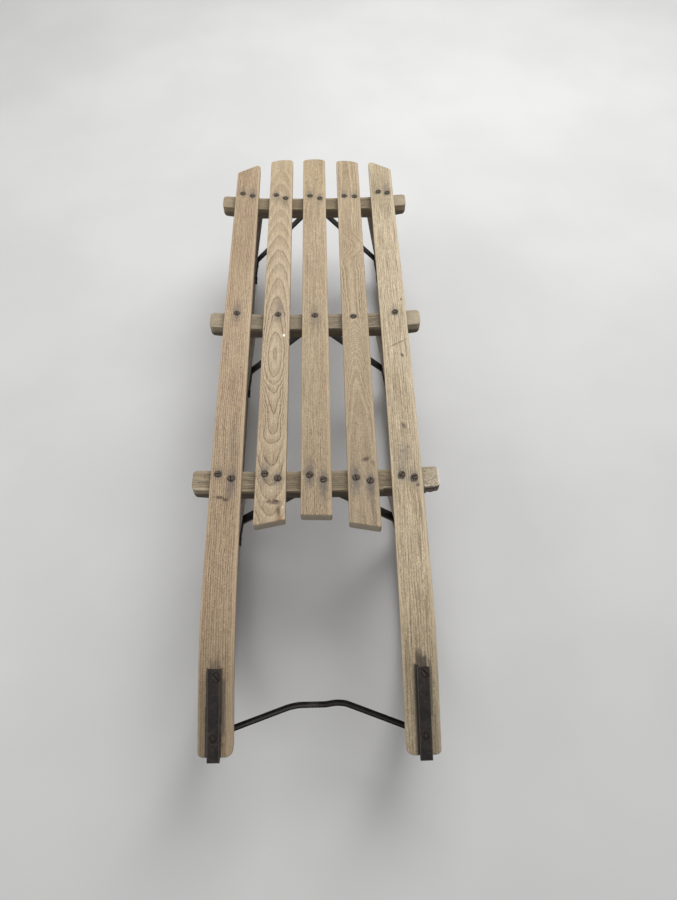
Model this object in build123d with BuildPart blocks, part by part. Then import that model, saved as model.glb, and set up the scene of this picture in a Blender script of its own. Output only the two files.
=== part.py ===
"""Old slatted wooden sled: five seat slats on three cross beams, splayed legs,
bent runners shod with iron, iron braces under the beams and a bowed tow rod.

Millimetres. X is the width, -Y is the front, Z is up and the floor is Z = 0.
Each side of the sled (outer slat, runner, runner iron) is drawn in one plane that
leans inwards: v runs along the sled from the front beam, w runs up from the
underside of the outer slat.
"""
from build123d import *
import math
import os

os.makedirs("parts", exist_ok=True)

# Cross beams
beam_length = 360.0
beam_width = 33.0
beam_pitch = 319.0
beam_under_z = 193.5
beam_middle_z = 215.0
beam_end_under_rise = 9.0
beam_end_taper = 48.0
inner_lean = 1.0
side_lean = 4.5
beam_end_radius = 7.0

# Seat slats
slat_width = 44.5
slat_thick = 15.0
outer_slat_inset = 46.6
slat_edge_radius = 1.8
front_corner_radius = 3.0
rear_corner_radius = 6.0
rear_outer_radius = 9.0
tip_outer_radius = 7.0
tip_inner_radius = 11.0
rear_bow = 4.5
rear_overhang = 126.0

# Outer slats' downward bend at the front, their straight tips, and how far the
# tips lie further in than the straight part
bend_start_y = -162.0
bend_radius = 250.0
bend_angle = 32.0
tip_length = 79.0
tip_toe_in = 8.4

# The right side stands a little further forward than the left
right_side_ahead = 3.0

# Runners
runner_width = 24.0
runner_depth = 30.0
runner_radius = 250.0
runner_rear_inset = 26.0
runner_rear_radius = 9.0
runner_straight_reach = 6.0

# Runner irons
iron_width = 15.5
iron_thick = 3.5
iron_outward = 3.0
iron_slack = 4.0
iron_bend_radius = 3.0
iron_top_length = 110.0
iron_rear_inset = 7.0
iron_lift_angle = 2.75

# Legs
leg_thick = 20.0
leg_depth = 28.0
leg_top_inset = 29.0
leg_chamfer = 1.5
tenon_thick = 10.0
tenon_depth = 18.0
top_tenon_length = 12.0
foot_tenon_length = 14.0

# Braces
brace_width = 14.0
brace_thick = 4.0
brace_flat_x = 21.0
brace_end_z = 12.0
brace_bend_radius = 9.0

# Tow rod
rod_radius = 4.0
rod_z = 133.0
rod_insert = 17.0
rod_bow = 35.8
rod_left_x = -33.0
rod_right_x = 35.0
rod_left_bend_radius = 75.0
rod_kink_radius = 30.0
rod_right_bend_radius = 32.0

# Slats' places across the sled, with a change of slope half way between two of them
outer_slat_x = beam_length / 2 - outer_slat_inset
slat_pitch = outer_slat_x / 2
inner_facet_x = slat_pitch / 2
outer_facet_x = slat_pitch * 1.5
leg_top_x = outer_slat_x - leg_top_inset

# Rear ends of the middle slat, the runners and their irons
rear_y = 2 * beam_pitch + rear_overhang
runner_rear_y = rear_y - runner_rear_inset
iron_rear_y = runner_rear_y - iron_rear_inset

lean = math.radians(side_lean)
inner_slope = math.tan(math.radians(inner_lean))
outer_slope = math.tan(lean)


def seat_z(x):
    """Height of the beams' faceted, dished top at x."""
    x = abs(x)
    rise = max(0.0, min(x, outer_facet_x) - inner_facet_x) * inner_slope
    return beam_middle_z + rise + max(0.0, x - outer_facet_x) * outer_slope


def unit(vector):
    length = math.hypot(*vector)
    return vector[0] / length, vector[1] / length


def arc_point(centre, radius, angle):
    """Point on a circle, with the angle in radians from straight down to the front."""
    return centre[0] - radius * math.sin(angle), centre[1] - radius * math.cos(angle)


def crown_point(radius, angle, past=0.0):
    """Point on the outer slat's bend, with the angle in radians from the top.

    past is how far the point lies on towards the tip, along the tangent there.
    """
    return (
        bend_start_y - radius * math.sin(angle) - past * math.cos(angle),
        crown_w + radius * math.cos(angle) - past * math.sin(angle),
    )


def line_meets_circle(start, run, centre, radius):
    """The first point where the line from start along the unit vector run meets a circle."""
    to_centre = (centre[0] - start[0], centre[1] - start[1])
    along = to_centre[0] * run[0] + to_centre[1] * run[1]
    apart = to_centre[0] * run[1] - to_centre[1] * run[0]
    reach = along - math.sqrt(radius**2 - apart**2)
    return start[0] + reach * run[0], start[1] + reach * run[1]


def offset_path(points, distance):
    """The polyline moved sideways to its right by distance, with mitred corners."""
    moved = []
    for i, point in enumerate(points):
        normals = []
        for a, b in ((i - 1, i), (i, i + 1)):
            if a >= 0 and b < len(points):
                run = unit((points[b][0] - points[a][0], points[b][1] - points[a][1]))
                normals.append((run[1], -run[0]))
        first = normals[0]
        last = normals[-1]
        scale = distance / (1 + first[0] * last[0] + first[1] * last[1])
        moved.append((point[0] + scale * (first[0] + last[0]), point[1] + scale * (first[1] + last[1])))
    return moved


# Outer slat's bend, in the side plane
bend = math.radians(bend_angle)
under_radius = bend_radius - slat_thick
crown_w = -under_radius
tip_under = crown_point(under_radius, bend, tip_length)
tip_top = crown_point(bend_radius, bend, tip_length)

# Runner's bend, which ends at the lower corner of the slat's tip
side_z = seat_z(outer_slat_x)
iron_edge = iron_outward + iron_width / 2
iron_bottom_w = -(side_z + iron_edge * math.sin(lean)) / math.cos(lean)
runner_bottom_w = iron_bottom_w + iron_thick
runner_top_w = runner_bottom_w + runner_depth
nose_rise = tip_under[1] - runner_bottom_w
nose_reach = math.sqrt(2 * runner_radius * nose_rise - nose_rise**2)
runner_bend_y = tip_under[0] + nose_reach
runner_centre = (runner_bend_y, runner_bottom_w + runner_radius)
nose_angle = math.atan2(nose_reach, runner_radius - nose_rise)
inner_radius = runner_radius - runner_depth
throat = line_meets_circle(tip_under, (math.cos(bend), math.sin(bend)), runner_centre, inner_radius)

# Iron's bend round the tip: it leaves the runner just below the tip and stands
# off the slat's end a little
lift_angle = nose_angle - math.radians(iron_lift_angle)
iron_lift = arc_point(runner_centre, runner_radius, lift_angle)
iron_corner = (
    tip_top[0] - iron_slack * math.cos(bend),
    tip_top[1] - iron_slack * math.sin(bend),
)
iron_end_angle = bend - (iron_top_length - tip_length) / bend_radius
front_normal = unit((iron_lift[1] - iron_corner[1], iron_corner[0] - iron_lift[0]))
top_normal = (-math.sin(bend), math.cos(bend))
corner_cos = front_normal[0] * top_normal[0] + front_normal[1] * top_normal[1]
corner_sum = (front_normal[0] + top_normal[0], front_normal[1] + top_normal[1])
bend_centre_y = iron_corner[0] - iron_bend_radius * corner_sum[0] / (1 + corner_cos)
nose_front = bend_centre_y - iron_bend_radius - iron_thick - right_side_ahead

# The part's box is centred on Y, so the front beam stands off the origin
front_beam_y = -(rear_y + nose_front) / 2
beam_rows = (
    # name, v, knee height of its brace
    ("front", 0.0, 94.0),
    ("middle", beam_pitch, 86.0),
    ("rear", 2 * beam_pitch, 76.0),
)
sides = (
    # name, sign of X, shift of its iron outwards
    ("left", -1, iron_outward - 1.0),
    ("right", 1, iron_outward + 1.0),
)
side_ahead = {-1: 0.0, 1: right_side_ahead}


def side_plane(side):
    """Plane of one side of the sled: local x is v, local y is w."""
    return Plane(
        origin=(side * outer_slat_x, front_beam_y - side_ahead[side], side_z),
        x_dir=(0, 1, 0),
        z_dir=(math.cos(lean), 0, side * math.sin(lean)),
    )


def seat_plane(x, slope_degrees):
    """Plane of a slat's underside: local x is across, local y is v."""
    angle = math.copysign(math.radians(slope_degrees), x) if x else 0.0
    return Plane(
        origin=(x, front_beam_y, seat_z(x)),
        x_dir=(math.cos(angle), 0, math.sin(angle)),
        z_dir=(-math.sin(angle), 0, math.cos(angle)),
    )


def side_point(u, w):
    """X and Z of a point on the right side, u outwards and w up."""
    return (
        outer_slat_x + u * math.cos(lean) - w * math.sin(lean),
        side_z + u * math.sin(lean) + w * math.cos(lean),
    )


def toe_in(v, start):
    """Inward shift at v of a side piece that is straight behind v = start."""
    return tip_toe_in * ((start - v) / (start - tip_top[0])) ** 2


# The outer slats and the irons run inwards from the middle beam on, the runners from
# the front legs
slat_toe_start = beam_pitch
runner_toe_start = -leg_depth / 2 - runner_straight_reach


# Leg in the plane of its beam, on the right side
foot_inner = side_point(-runner_width / 2, runner_top_w)
leg_run = unit((foot_inner[0] - leg_top_x, foot_inner[1] - beam_under_z))
leg_across = leg_thick / -leg_run[1]


def leg_at(offset, z):
    """X of the leg's inner face at z, moved outwards by offset."""
    return leg_top_x + (z - beam_under_z) * leg_run[0] / leg_run[1] + offset


def leg_foot(offset):
    """Where the leg's line at this offset meets the runner's top."""
    start = (leg_at(offset, beam_under_z), beam_under_z)
    rise = foot_inner[1] - start[1] + (start[0] - foot_inner[0]) * math.tan(lean)
    reach = rise / (leg_run[1] - leg_run[0] * math.tan(lean))
    return start[0] + reach * leg_run[0], start[1] + reach * leg_run[1]


leg_outline = (
    (leg_top_x, beam_under_z),
    (leg_top_x + leg_across, beam_under_z),
    leg_foot(leg_across),
    foot_inner,
)
tenon_start = (leg_across - tenon_thick / -leg_run[1]) / 2
tenon_end = leg_across - tenon_start


def along_leg(point, distance):
    return point[0] + distance * leg_run[0], point[1] + distance * leg_run[1]


top_tenon_outline = (
    (leg_at(tenon_start, beam_under_z), beam_under_z),
    (leg_at(tenon_end, beam_under_z), beam_under_z),
    along_leg((leg_at(tenon_end, beam_under_z), beam_under_z), -top_tenon_length),
    along_leg((leg_at(tenon_start, beam_under_z), beam_under_z), -top_tenon_length),
)
foot_tenon_outline = (
    leg_foot(tenon_start),
    leg_foot(tenon_end),
    along_leg(leg_foot(tenon_end), foot_tenon_length),
    along_leg(leg_foot(tenon_start), foot_tenon_length),
)


def cross_plane(v):
    """Upright plane across the sled at v: local x is X, local y is Z."""
    return Plane(origin=(0, front_beam_y + v, 0), x_dir=(1, 0, 0), z_dir=(0, -1, 0))


def mirrored(points, side):
    return [(side * x, z) for x, z in points]


# Cross beams with rounded ends, and mortises for the legs
beam_outline = [
    (inner_facet_x, seat_z(inner_facet_x)),
    (outer_facet_x, seat_z(outer_facet_x)),
    (beam_length / 2, seat_z(beam_length / 2)),
    (beam_length / 2, beam_under_z + beam_end_under_rise),
    (beam_length / 2 - beam_end_taper, beam_under_z),
]
for name, v, _ in beam_rows:
    with BuildPart() as beam:
        with BuildSketch(cross_plane(v)):
            Polygon(*beam_outline, *mirrored(reversed(beam_outline), -1), align=None)
        extrude(amount=beam_width / 2, both=True)
        end_edges = beam.edges().filter_by(
            lambda edge: abs(abs(edge.center().X) - beam_length / 2) < 0.01
        )
        fillet(end_edges.filter_by(lambda edge: edge.center().Z < seat_z(0) - 1), beam_end_radius)
        for side in (-1, 1):
            with BuildSketch(cross_plane(v)):
                Polygon(*mirrored(top_tenon_outline, side), align=None)
            extrude(amount=tenon_depth / 2, both=True, mode=Mode.SUBTRACT)
    beam.part.label = "beam_" + name
    export_step(beam.part, "parts/beam_" + name + ".step")

# Legs
for name, v, _ in beam_rows:
    for side_name, side, _ in sides:
        with BuildPart() as leg:
            with BuildSketch(cross_plane(v)):
                Polygon(*mirrored(leg_outline, side), align=None)
            extrude(amount=leg_depth / 2, both=True)
            upright = leg.edges().filter_by(lambda edge: abs(edge.tangent_at(0).Z) > 0.5)
            chamfer(upright, leg_chamfer)
            for outline in (top_tenon_outline, foot_tenon_outline):
                with BuildSketch(cross_plane(v)):
                    Polygon(*mirrored(outline, side), align=None)
                extrude(amount=tenon_depth / 2, both=True)
        leg.part.label = "leg_" + name + "_" + side_name
        export_step(leg.part, "parts/leg_" + name + "_" + side_name + ".step")

# Inner slats, with a sawn front end and a rear end that bows out in the middle
inner_slats = (
    # name, x, left front v, right front v, left rear v, right rear v
    ("slat_2", -slat_pitch + 0.7, -80.0, -70.5, rear_y - 11.0, rear_y - 4.5),
    ("slat_3", 0.0, -64.0, -65.5, rear_y - rear_bow, rear_y - rear_bow),
    ("slat_4", slat_pitch + 1.3, -77.0, -86.0, rear_y - 9.0, rear_y - 16.0),
)
for name, x, left_front, right_front, left_rear, right_rear in inner_slats:
    with BuildPart() as slat:
        with BuildSketch(seat_plane(x, inner_lean)):
            with BuildLine():
                Polyline(
                    (slat_width / 2, right_rear),
                    (slat_width / 2, right_front),
                    (-slat_width / 2, left_front),
                    (-slat_width / 2, left_rear),
                )
                ThreePointArc(
                    (-slat_width / 2, left_rear),
                    (0, (left_rear + right_rear) / 2 + rear_bow),
                    (slat_width / 2, right_rear),
                )
            make_face()
            fillet(vertices().filter_by(lambda corner: corner.Y > 0), rear_corner_radius)
            fillet(vertices().filter_by(lambda corner: corner.Y < 0), front_corner_radius)
        extrude(amount=slat_thick)
        fillet(slat.faces().sort_by(Axis.Z)[-1].edges(), slat_edge_radius)
    slat.part.label = name
    export_step(slat.part, "parts/" + name + ".step")


def plan_outline(side, start, half_width, centre, rear_inner, rear_outer):
    """Outline of a side piece seen from above, bent inwards towards its tip.

    start is where its straight part ends and both rear corners are given by v.
    """
    far = nose_front - 20.0
    inner = centre - half_width
    outer = centre + half_width
    middle = (start + far) / 2
    middle_shift = toe_in(middle, start)
    far_shift = toe_in(far, start)
    with BuildLine() as line:
        Polyline(
            (side * inner, start), (side * inner, rear_inner),
            (side * outer, rear_outer), (side * outer, start),
        )
        ThreePointArc(
            (side * outer, start),
            (side * (outer - middle_shift), middle),
            (side * (outer - far_shift), far),
        )
        Line((side * (outer - far_shift), far), (side * (inner - far_shift), far))
        ThreePointArc(
            (side * (inner - far_shift), far),
            (side * (inner - middle_shift), middle),
            (side * inner, start),
        )
    return line.line


def trim_to_plan(side, start, half_width, centre, rear_inner, rear_outer):
    """Cuts the piece being built to its outline seen from above."""
    with BuildSketch(seat_plane(side * outer_slat_x, side_lean)) as plan:
        with BuildLine():
            add(plan_outline(side, start, half_width, centre, rear_inner, rear_outer))
        make_face()
    extrude(plan.sketch, amount=side_z * 1.2, both=True, mode=Mode.INTERSECT)


def on_top(edge, side):
    """Whether an edge of an outer slat lies on the outline of its top."""
    point = side_plane(side).to_local_coords(edge.position_at(0.5))
    seams = (bend_start_y, crown_point(bend_radius, bend)[0])
    if min(abs(point.X - seam) for seam in seams) < 0.01:
        return False
    if point.X > bend_start_y:
        return abs(point.Y - slat_thick) < 0.01
    angle = min(bend, math.atan2(bend_start_y - point.X, point.Y - crown_w))
    height = (bend_start_y - point.X) * math.sin(angle) + (point.Y - crown_w) * math.cos(angle)
    return abs(height - bend_radius) < 0.01


# Outer slats, bent down to the runners' tips, with their rear ends cut aslant
outer_slats = (
    # name, sign of X, shift outwards, rear inner v, rear outer v, radius of the rear outer corner
    ("slat_1", -1, -0.7, rear_y - 18.5, rear_y - 52.0, rear_corner_radius),
    ("slat_5", 1, 0.7, rear_y - 11.0, rear_y - 45.0, rear_outer_radius),
)
half_bend = bend / 2
slat_far_end = rear_y + right_side_ahead
for name, side, shift, rear_inner, rear_outer, rear_radius in outer_slats:
    with BuildPart() as slat:
        with BuildSketch(side_plane(side)):
            with BuildLine():
                Line((slat_far_end, 0), (bend_start_y, 0))
                ThreePointArc(
                    (bend_start_y, 0),
                    crown_point(under_radius, half_bend),
                    crown_point(under_radius, bend),
                )
                Polyline(
                    crown_point(under_radius, bend), tip_under,
                    tip_top, crown_point(bend_radius, bend),
                )
                ThreePointArc(
                    crown_point(bend_radius, bend),
                    crown_point(bend_radius, half_bend),
                    (bend_start_y, slat_thick),
                )
                Polyline(
                    (bend_start_y, slat_thick), (slat_far_end, slat_thick), (slat_far_end, 0)
                )
            make_face()
        extrude(amount=slat_width, both=True)
        trim_to_plan(side, slat_toe_start, slat_width / 2, shift, rear_inner, rear_outer)
        corners = (
            # 1 rear or -1 front, 1 outer or -1 inner, radius
            (1, 1, rear_radius),
            (1, -1, rear_corner_radius),
            (-1, 1, tip_outer_radius),
            (-1, -1, tip_inner_radius),
        )
        for end, outer, radius in corners:
            upright = slat.edges().filter_by(lambda edge: abs(edge.length - slat_thick) < 0.5)
            reach = upright.sort_by(
                lambda edge: end * edge.center().Y + outer * side * edge.center().X
            )
            fillet(reach[-1], radius)
        fillet(slat.edges().filter_by(lambda edge: on_top(edge, side)), slat_edge_radius)
    slat.part.label = name
    export_step(slat.part, "parts/" + name + ".step")

# Tow rod, bowed back between its ends in the middle of the runners' tips
rod_w = (rod_z - side_z) / math.cos(lean)
rod_end_y = runner_centre[0] - math.sqrt(
    (runner_radius - runner_depth / 2) ** 2 - (runner_centre[1] - rod_w) ** 2
)
rod_seat_x = side_point(rod_insert - runner_width / 2, rod_w)[0]
rod_end_x = rod_seat_x - toe_in(rod_end_y, runner_toe_start)
rod_mid_y = rod_end_y + rod_bow
rod_points = (
    # x, v
    (-rod_end_x, rod_end_y),
    (rod_left_x, rod_mid_y),
    (8.0, rod_mid_y),
    (23.0, rod_mid_y + 2.0),
    (rod_right_x, rod_mid_y + 1.0),
    (rod_end_x, rod_end_y - right_side_ahead),
)
rod_bends = (rod_left_bend_radius, rod_kink_radius, rod_kink_radius, rod_right_bend_radius)
with BuildPart() as tow_rod:
    with BuildLine(Plane(origin=(0, front_beam_y, rod_z))) as rod_path:
        FilletPolyline(*rod_points, radius=rod_bends)
    with BuildSketch(rod_path.line ^ 0):
        Circle(rod_radius)
    sweep()
tow_rod.part.label = "tow_rod"
export_step(tow_rod.part, "parts/tow_rod.step")

# Runners
half_nose = nose_angle / 2
throat_angle = math.atan2(runner_centre[0] - throat[0], runner_centre[1] - throat[1])
for side_name, side, _ in sides:
    with BuildPart() as runner:
        with BuildSketch(side_plane(side)):
            with BuildLine():
                Line((runner_rear_y, runner_bottom_w), (runner_bend_y, runner_bottom_w))
                ThreePointArc(
                    (runner_bend_y, runner_bottom_w),
                    arc_point(runner_centre, runner_radius, half_nose),
                    tip_under,
                )
                Line(tip_under, throat)
                ThreePointArc(
                    throat,
                    arc_point(runner_centre, inner_radius, throat_angle / 2),
                    (runner_bend_y, runner_top_w),
                )
                Line((runner_bend_y, runner_top_w), (runner_rear_y, runner_top_w))
                Line((runner_rear_y, runner_top_w), (runner_rear_y, runner_bottom_w))
            make_face()
            fillet(vertices().sort_by(Axis.X)[-2:], runner_rear_radius)
        extrude(amount=runner_width, both=True)
        trim_to_plan(side, runner_toe_start, runner_width / 2, 0.0, rear_y, rear_y)
        for _, v, _ in beam_rows:
            with BuildSketch(cross_plane(v)):
                Polygon(*mirrored(foot_tenon_outline, side), align=None)
            extrude(amount=tenon_depth / 2, both=True, mode=Mode.SUBTRACT)
        add(tow_rod.part, mode=Mode.SUBTRACT)
    runner.part.label = "runner_" + side_name
    export_step(runner.part, "parts/runner_" + side_name + ".step")

# Runner irons: under the runner, round the tip and back over the slat
outer_front = (
    iron_corner[0] + iron_thick * corner_sum[0] / (1 + corner_cos),
    iron_corner[1] + iron_thick * corner_sum[1] / (1 + corner_cos),
)
lift_tangent = (-math.cos(lift_angle), math.sin(lift_angle))
outer_lift = arc_point(runner_centre, runner_radius + iron_thick, lift_angle)
top_middle = (bend + iron_end_angle) / 2
for side_name, side, shift in sides:
    with BuildPart() as iron:
        with BuildSketch(side_plane(side)):
            with BuildLine():
                Line((iron_rear_y, runner_bottom_w), (runner_bend_y, runner_bottom_w))
                ThreePointArc(
                    (runner_bend_y, runner_bottom_w),
                    arc_point(runner_centre, runner_radius, lift_angle / 2),
                    iron_lift,
                )
                Line(iron_lift, iron_corner)
                Polyline(iron_corner, tip_top, crown_point(bend_radius, bend))
                ThreePointArc(
                    crown_point(bend_radius, bend),
                    crown_point(bend_radius, top_middle),
                    crown_point(bend_radius, iron_end_angle),
                )
                Line(
                    crown_point(bend_radius, iron_end_angle),
                    crown_point(bend_radius + iron_thick, iron_end_angle),
                )
                ThreePointArc(
                    crown_point(bend_radius + iron_thick, iron_end_angle),
                    crown_point(bend_radius + iron_thick, top_middle),
                    crown_point(bend_radius + iron_thick, bend),
                )
                Line(crown_point(bend_radius + iron_thick, bend), outer_front)
                Line(outer_front, outer_lift)
                ThreePointArc(
                    outer_lift,
                    arc_point(runner_centre, runner_radius + iron_thick, lift_angle / 2),
                    (runner_bend_y, iron_bottom_w),
                )
                Line((runner_bend_y, iron_bottom_w), (iron_rear_y, iron_bottom_w))
                Line((iron_rear_y, iron_bottom_w), (iron_rear_y, runner_bottom_w))
            make_face()
            fillet(vertices().sort_by_distance(iron_corner)[0], iron_bend_radius)
            fillet(
                vertices().sort_by_distance(outer_front)[0], iron_bend_radius + iron_thick
            )
        extrude(amount=runner_width, both=True)
        trim_to_plan(side, slat_toe_start, iron_width / 2, shift, rear_y, rear_y)
        # The straight part is worn flat on the floor
        split(bisect_by=Plane.XY, keep=Keep.TOP)
    iron.part.label = "runner_iron_" + side_name
    export_step(iron.part, "parts/runner_iron_" + side_name + ".step")

# Braces: flat iron under the beam, down to the legs and on to the runners
for name, v, knee_z in beam_rows:
    half_path = (
        (brace_flat_x, beam_under_z),
        (leg_at(0, knee_z), knee_z),
        foot_inner,
        side_point(-runner_width / 2, (brace_end_z - side_z) / math.cos(lean)),
    )
    path = mirrored(reversed(half_path), -1) + list(half_path)
    inside = offset_path(path, brace_thick)
    with BuildPart() as brace:
        with BuildSketch(cross_plane(v)):
            with BuildLine():
                FilletPolyline(*path, radius=brace_bend_radius + brace_thick)
                Line(path[-1], inside[-1])
                FilletPolyline(*reversed(inside), radius=brace_bend_radius)
                Line(inside[0], path[0])
            make_face()
        extrude(amount=brace_width / 2, both=True)
    brace.part.label = "brace_" + name
    export_step(brace.part, "parts/brace_" + name + ".step")
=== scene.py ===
import math
import random

import bmesh
import bpy
from mathutils import Matrix, Vector
from mathutils import noise as noise_at
from mathutils.bvhtree import BVHTree


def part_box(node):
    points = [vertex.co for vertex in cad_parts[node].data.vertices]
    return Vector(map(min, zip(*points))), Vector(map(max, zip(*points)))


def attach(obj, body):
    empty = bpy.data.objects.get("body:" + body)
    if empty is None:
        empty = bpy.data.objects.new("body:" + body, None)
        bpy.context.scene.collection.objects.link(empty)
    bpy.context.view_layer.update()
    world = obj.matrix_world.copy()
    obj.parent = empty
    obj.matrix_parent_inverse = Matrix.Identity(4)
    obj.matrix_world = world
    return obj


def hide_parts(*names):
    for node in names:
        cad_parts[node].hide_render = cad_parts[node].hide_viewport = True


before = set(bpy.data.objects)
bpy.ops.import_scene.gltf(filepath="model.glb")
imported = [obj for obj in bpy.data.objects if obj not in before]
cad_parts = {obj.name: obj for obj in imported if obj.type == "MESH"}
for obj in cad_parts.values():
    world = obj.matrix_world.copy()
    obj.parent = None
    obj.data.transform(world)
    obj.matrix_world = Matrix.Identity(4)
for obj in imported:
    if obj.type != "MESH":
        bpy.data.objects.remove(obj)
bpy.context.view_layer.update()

MM = 0.001

# Sizes, in mm. v runs along the sled from the front beam, positive to the rear.
front_beam_y = (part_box("beam_front")[0][1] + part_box("beam_front")[1][1]) / 2 / MM
sides = (("left", -1), ("right", 1))
rows = (("front", 0.0), ("middle", 319.0), ("rear", 638.0))

# The leaning plane in which an outer slat, its runner and its iron are bent. The right
# side reaches further forward by its side_ahead.
side_x = 133.4
side_z = 218.76
side_lean = math.radians(4.5)
side_ahead = {-1: 0.0, 1: 3.0}

# Outer slats and their bend. Both lie outer_shift to the right of their plane's middle,
# and the irons iron_shift outwards of it.
slat_thick = 15.0
slat_half = 22.25
outer_shift = 0.7
bend_start = -162.0
bend_radius = 250.0
bend_angle = math.radians(32.0)
iron_shift = {-1: 2.0, 1: 4.0}

# How far the tips stand inwards, and from where on the slats and the runners run there
toe_in = 8.4
toe_tip = -361.0
toe_start = 319.0
runner_toe_start = -20.0

# Inner slats, of which the two beside the middle one lean
middle_slat_top = 230.0
inner_slat_top = 230.6
inner_slat_lean = math.radians(1.0)

# Runners
runner_half = 12.0
runner_depth = 30.0
runner_bend_v = -129.4
runner_radius = 250.0
runner_low_w = -215.9
runner_turn = math.radians(64.0)

# Beams. Their ends rise by beam_taper per mm from beam_taper_x on.
beam_half = 16.5
beam_top = 215.0
beam_under = 193.5
beam_taper_x = 132.0
beam_taper = 0.1875

# Legs: X of their inner face under the beam, and how far they splay per mm down
leg_half = 14.0
leg_top_x = 104.4
leg_slope = 0.19578


# Node arithmetic
class Value:
    """A number that a material works out for each point of the surface."""

    def __init__(self, tree, socket):
        self.tree = tree
        self.socket = socket

    def run(self, operation, *others):
        node = self.tree.nodes.new("ShaderNodeMath")
        node.operation = operation
        for socket, value in zip(node.inputs, (self, *others)):
            put(self.tree, socket, value)
        return Value(self.tree, node.outputs[0])

    def __add__(self, other):
        return self.run("ADD", other)

    def __sub__(self, other):
        return self.run("SUBTRACT", other)

    def __mul__(self, other):
        return self.run("MULTIPLY", other)

    def __truediv__(self, other):
        return self.run("DIVIDE", other)

    __radd__ = __add__
    __rmul__ = __mul__

    def __neg__(self):
        return self.run("MULTIPLY", -1.0)

    def __rsub__(self, other):
        return (-self).run("ADD", other)

    def root(self):
        return self.run("SQRT")

    def size(self):
        return self.run("ABSOLUTE")

    def clamp(self, low=0.0, high=1.0):
        return self.run("MAXIMUM", low).run("MINIMUM", high)

    def smooth(self, start, end, low=0.0, high=1.0):
        """Goes softly from low at start to high at end."""
        node = self.tree.nodes.new("ShaderNodeMapRange")
        node.interpolation_type = "SMOOTHSTEP"
        for name, value in (
            ("Value", self), ("From Min", start), ("From Max", end),
            ("To Min", low), ("To Max", high),
        ):
            put(self.tree, node.inputs[name], value)
        return Value(self.tree, node.outputs["Result"])


def put(tree, socket, value):
    """Links a socket to what a Value holds, or sets it to a plain number or colour."""
    if isinstance(value, Value):
        value = value.socket
    if isinstance(value, bpy.types.NodeSocket):
        tree.links.new(value, socket)
    elif socket.type == "RGBA" and len(value) == 3:
        socket.default_value = (*value, 1.0)
    else:
        socket.default_value = value


def hypot(a, b):
    return (a * a + b * b).root()


def noise(tree, point, scale, detail=2.0, rough=0.5, seed=0.0, bend=0.0):
    """Noise between 0 and 1. scale gives the cells per mm along each axis of point."""
    combine = tree.nodes.new("ShaderNodeCombineXYZ")
    for socket, value, factor, shift in zip(combine.inputs, point, scale, (seed, seed * 1.7, 0.0)):
        put(tree, socket, value * factor + shift)
    node = tree.nodes.new("ShaderNodeTexNoise")
    tree.links.new(combine.outputs[0], node.inputs["Vector"])
    node.inputs["Scale"].default_value = 1.0
    node.inputs["Detail"].default_value = detail
    node.inputs["Roughness"].default_value = rough
    node.inputs["Distortion"].default_value = bend
    return Value(tree, node.outputs["Fac"])


def mixed(tree, amount, first, second, blend="MIX"):
    """The colour mix, by the sockets' places, since the node has several called A and B."""
    node = tree.nodes.new("ShaderNodeMix")
    node.data_type = "RGBA"
    node.blend_type = blend
    node.clamp_factor = True
    colours = [socket for socket in node.inputs if socket.type == "RGBA"]
    put(tree, node.inputs[0], amount)
    put(tree, colours[0], first)
    put(tree, colours[1], second)
    return [socket for socket in node.outputs if socket.type == "RGBA"][0]


def new_material(name):
    material = bpy.data.materials.new(name)
    material.use_nodes = True
    tree = material.node_tree
    shader = tree.nodes["Principled BSDF"]
    return material, tree, shader


def parts_of(tree, output):
    """X, Y and Z of what a node gives."""
    node = tree.nodes.new("ShaderNodeSeparateXYZ")
    tree.links.new(output, node.inputs[0])
    return [Value(tree, socket) for socket in node.outputs]


def own_place(tree):
    """X, Y and Z of the surface point in its own object, in mm."""
    coords = tree.nodes.new("ShaderNodeTexCoord")
    return [part / MM for part in parts_of(tree, coords.outputs["Object"])]


def place(tree):
    """X, v and Z of the surface point, in mm."""
    x, y, z = own_place(tree)
    return x, y - front_beam_y, z


def facing(tree):
    """X, Y and Z of the surface's direction, as the object has it."""
    coords = tree.nodes.new("ShaderNodeTexCoord")
    return parts_of(tree, coords.outputs["Normal"])


def up_face(tree):
    """1 where the surface looks up, 0 on sides and undersides."""
    return facing(tree)[2].smooth(0.3, 0.6)


def add_bump(tree, shader, height, distance, strength):
    node = tree.nodes.new("ShaderNodeBump")
    node.inputs["Strength"].default_value = strength
    node.inputs["Distance"].default_value = distance
    put(tree, node.inputs["Height"], height)
    tree.links.new(node.outputs["Normal"], shader.inputs["Normal"])


def tinted(colours, factors):
    """Colours made lighter or darker by a factor each for red, green and blue."""
    return tuple(tuple(part * factor for part, factor in zip(colour, factors)) for colour in colours)


def shaded(colour, factor):
    return [part * factor for part in colour]


# A point's place in its own board: across it, along it, and how deep below its top
def toe_shift(v, start):
    """How far a board that runs inwards from start lies inwards at v."""
    return (((start - v) / (start - toe_tip)).run("MAXIMUM", 0.0)).run("POWER", 2.0) * toe_in


def flat_board(tree, centre_x, lean, top_z):
    x, v, z = place(tree)
    across = x - centre_x
    return across, v, across * math.tan(lean) + (top_z - z)


def side_board(tree, side):
    """Across, along and up in the plane of one side of the sled."""
    x, v, z = place(tree)
    out = x - side * side_x
    rise = z - side_z
    up = rise * math.cos(side_lean) - out * (side * math.sin(side_lean))
    across = out * math.cos(side_lean) + rise * (side * math.sin(side_lean))
    return across, v, up


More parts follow.
